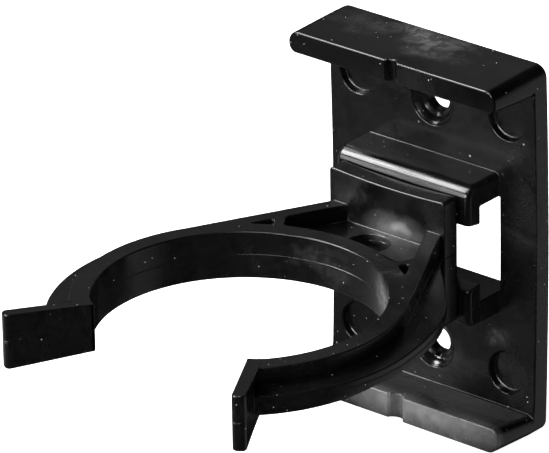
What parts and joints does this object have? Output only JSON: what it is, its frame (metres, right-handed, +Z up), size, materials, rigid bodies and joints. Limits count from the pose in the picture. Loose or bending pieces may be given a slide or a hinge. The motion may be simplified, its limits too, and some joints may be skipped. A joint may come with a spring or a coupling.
{
  "type": "plinth panel clip",
  "caption": "Black moulded bracket that screws to a plinth panel, with a sliding open-ring clip that snaps on a round cabinet leg.",
  "frame": {"origin": "centre of the bracket's flat back, midway between its two screw holes", "axes": "+Y into the panel, +Z up along the leg, X along the panel and along the rails"},
  "size_m": [0.0532, 0.0703, 0.0558],
  "materials": {
    "black_plastic": "glossy black injection moulding with faint flow marks and handling scuffs"
  },
  "bodies": {
    "bracket": {"panel_bracket": "black_plastic"},
    "clip": {"leg_clip": "black_plastic"},
    "left_arm": {"left_arm": "black_plastic"},
    "right_arm": {"right_arm": "black_plastic"}
  },
  "joints": [
    {"name": "rail_slide", "type": "slide", "parent": "bracket", "child": "clip", "axis": [1, 0, 0], "range_m": [-0.006, 0.006]},
    {"name": "right_arm_flex", "type": "hinge", "parent": "clip", "child": "right_arm", "pos_m": [0.02285, -0.0393, 0.00097], "axis": [0, 0, 1], "range_deg": [-2, 16], "stiffness_Nm_per_rad": 1.5},
    {"name": "left_arm_flex", "type": "hinge", "parent": "clip", "child": "left_arm", "pos_m": [-0.02285, -0.0393, 0.00097], "axis": [0, 0, -1], "range_deg": [-2, 16], "stiffness_Nm_per_rad": 1.5}
  ]
}
